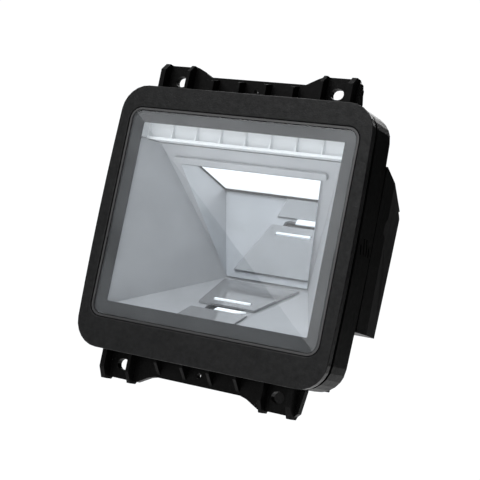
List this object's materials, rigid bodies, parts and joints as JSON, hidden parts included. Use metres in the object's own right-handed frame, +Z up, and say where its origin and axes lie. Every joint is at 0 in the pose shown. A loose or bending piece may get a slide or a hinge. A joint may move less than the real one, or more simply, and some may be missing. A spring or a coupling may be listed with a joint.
{
  "type": "barcode scanner",
  "caption": "Black panel-mount presentation barcode scanner with a bezel, a large window over a mirror chamber, ribbed mounting ears and a rear hump.",
  "frame": {"origin": "centre of the whole object's bounding box", "axes": "+Z up along the longer side between the mounting ears, +Y from the window to the rear hump, +X to the right seen from in front of the window"},
  "size_m": [0.118, 0.0598, 0.1352],
  "materials": {
    "black_texture": "fine spark texture",
    "trim_black": "satin",
    "camera_black": "satin",
    "seal_rubber": "matt",
    "cable_black": "satin",
    "mask_grey": "printed border behind the glass",
    "window_glass": "clear, polished",
    "lens_glass": "clear, coated",
    "chamber_grey": "silver-grey paint, satin",
    "mirror_silver": "front-surface mirror",
    "smoked_window": "tinted, polished",
    "white_diffuser": "milky",
    "reflector_white": "satin white",
    "board_green": "solder resist",
    "board_white": "white solder resist",
    "chip_black": "moulded epoxy",
    "tin_plate": "tin-plated",
    "steel": "zinc-plated",
    "gold_plate": "gold-plated",
    "flex_amber": "polyimide film",
    "foam_grey": "open-cell foam and damped cloth",
    "label_silver": "blank label, satin"
  },
  "bodies": {
    "scanner": {"aimer_diffuser": "white_diffuser", "bezel_screw_1": "steel", "bezel_screw_2": "steel", "bezel_screw_3": "steel", "bezel_screw_4": "steel", "board_connector_1": "board_white", "board_connector_2": "board_white", "board_screw_1": "steel", "board_screw_2": "steel", "camera_board": "board_green", "camera_cable": "cable_black", "camera_screw_1": "steel", "camera_screw_2": "steel", "floor_front_plate": "smoked_window", "floor_window": "smoked_window", "fold_mirror": "mirror_silver", "front_bezel": "black_texture", "front_seal": "seal_rubber", "glass_gasket": "seal_rubber", "image_sensor": "chip_black", "interface_socket": "camera_black", "led_board": "board_white", "led_chip_1": "white_diffuser", "led_chip_2": "white_diffuser", "led_chip_3": "white_diffuser", "led_chip_4": "white_diffuser", "led_chip_5": "white_diffuser", "led_chip_6": "white_diffuser", "led_chip_7": "white_diffuser", "led_chip_8": "white_diffuser", "led_flex_cable": "flex_amber", "led_reflector": "reflector_white", "lens_holder": "camera_black", "main_board": "board_green", "main_housing": "black_texture", "memory_chip": "chip_black", "mirror_clamp": "chamber_grey", "optical_chamber": "chamber_grey", "processor_chip": "chip_black", "rear_cover": "black_texture", "rear_cover_screw_1": "steel", "rear_cover_screw_2": "steel", "rear_cover_screw_3": "steel", "rear_cover_screw_4": "steel", "rear_label": "label_silver", "rear_seal": "seal_rubber", "shield_can": "tin_plate", "socket_contacts": "gold_plate", "speaker_diaphragm": "foam_grey", "speaker_frame": "camera_black", "speaker_gasket": "foam_grey", "status_diffuser": "white_diffuser", "window_glass": "window_glass", "window_mask": "mask_grey", "window_trim": "trim_black"},
    "lens": {"front_lens": "lens_glass", "lens_barrel": "camera_black"}
  },
  "joints": [
    {"name": "lens_focus", "type": "hinge", "parent": "scanner", "child": "lens", "pos_m": [0, -0.00778, -0.04205], "axis": [0, 0.1857, 0.9826], "range_deg": [-90, 90]}
  ]
}
